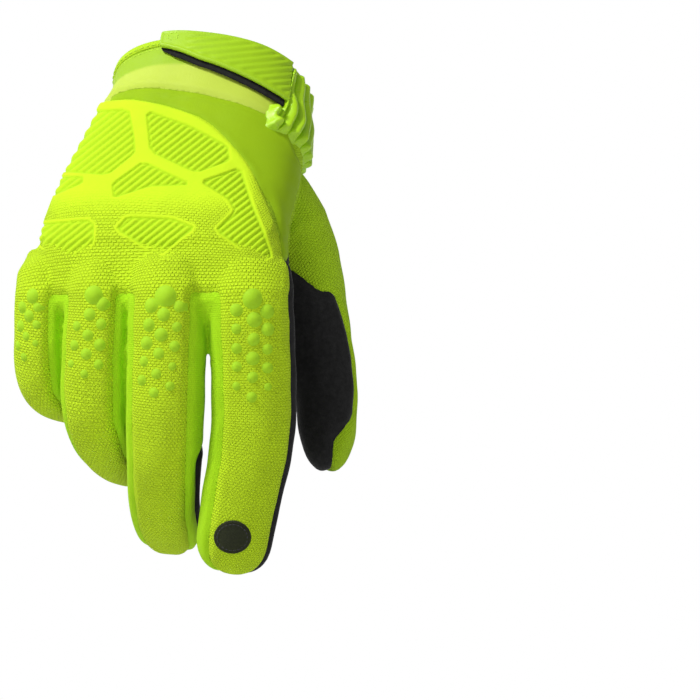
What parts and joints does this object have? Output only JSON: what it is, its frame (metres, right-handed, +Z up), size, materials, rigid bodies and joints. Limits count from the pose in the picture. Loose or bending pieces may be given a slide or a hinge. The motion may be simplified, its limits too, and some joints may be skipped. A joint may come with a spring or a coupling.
{
  "type": "motocross glove",
  "caption": "Full-finger off-road riding glove for the right hand, with a padded back, knuckle dots, a suede palm and a wrist strap.",
  "frame": {"origin": "centre of the cuff's opening, where the hand goes in", "axes": "+Z up from the fingertips towards the cuff, -Y the way the knuckles and the back of the fingers face, +X the thumb's side; the cuff itself opens up and back, between +Z and +Y"},
  "size_m": [0.1285, 0.0946, 0.2067],
  "materials": {
    "suede": "matt",
    "suede_pad": "matt",
    "knit": "matt, textured",
    "smooth_panel": "smooth",
    "mesh": "matt mesh",
    "side_strip": "matt",
    "cuff_fabric": "smooth",
    "binding": "matt",
    "strap_rubber": "satin",
    "hook_layer": "matt",
    "gather": "matt",
    "pad_rubber": "satin",
    "patch": "matt"
  },
  "bodies": {
    "root": {"palm_panel": "suede", "index_front": "suede", "middle_front": "suede", "ring_front": "suede", "little_front": "suede", "thumb_front": "suede", "back_panel": "knit", "wrist_panel": "smooth_panel", "thumb_panel": "mesh", "fourchette_index_middle": "side_strip", "fourchette_middle_ring": "side_strip", "fourchette_ring_little": "side_strip", "cuff": "cuff_fabric", "cuff_binding": "binding", "strap": "strap_rubber", "strap_hook": "hook_layer", "gathered_side": "gather", "back_pad": "pad_rubber", "touch_patch": "patch", "upper_palm_pad": "suede_pad", "lower_palm_pad": "suede_pad"}
  },
  "joints": []
}
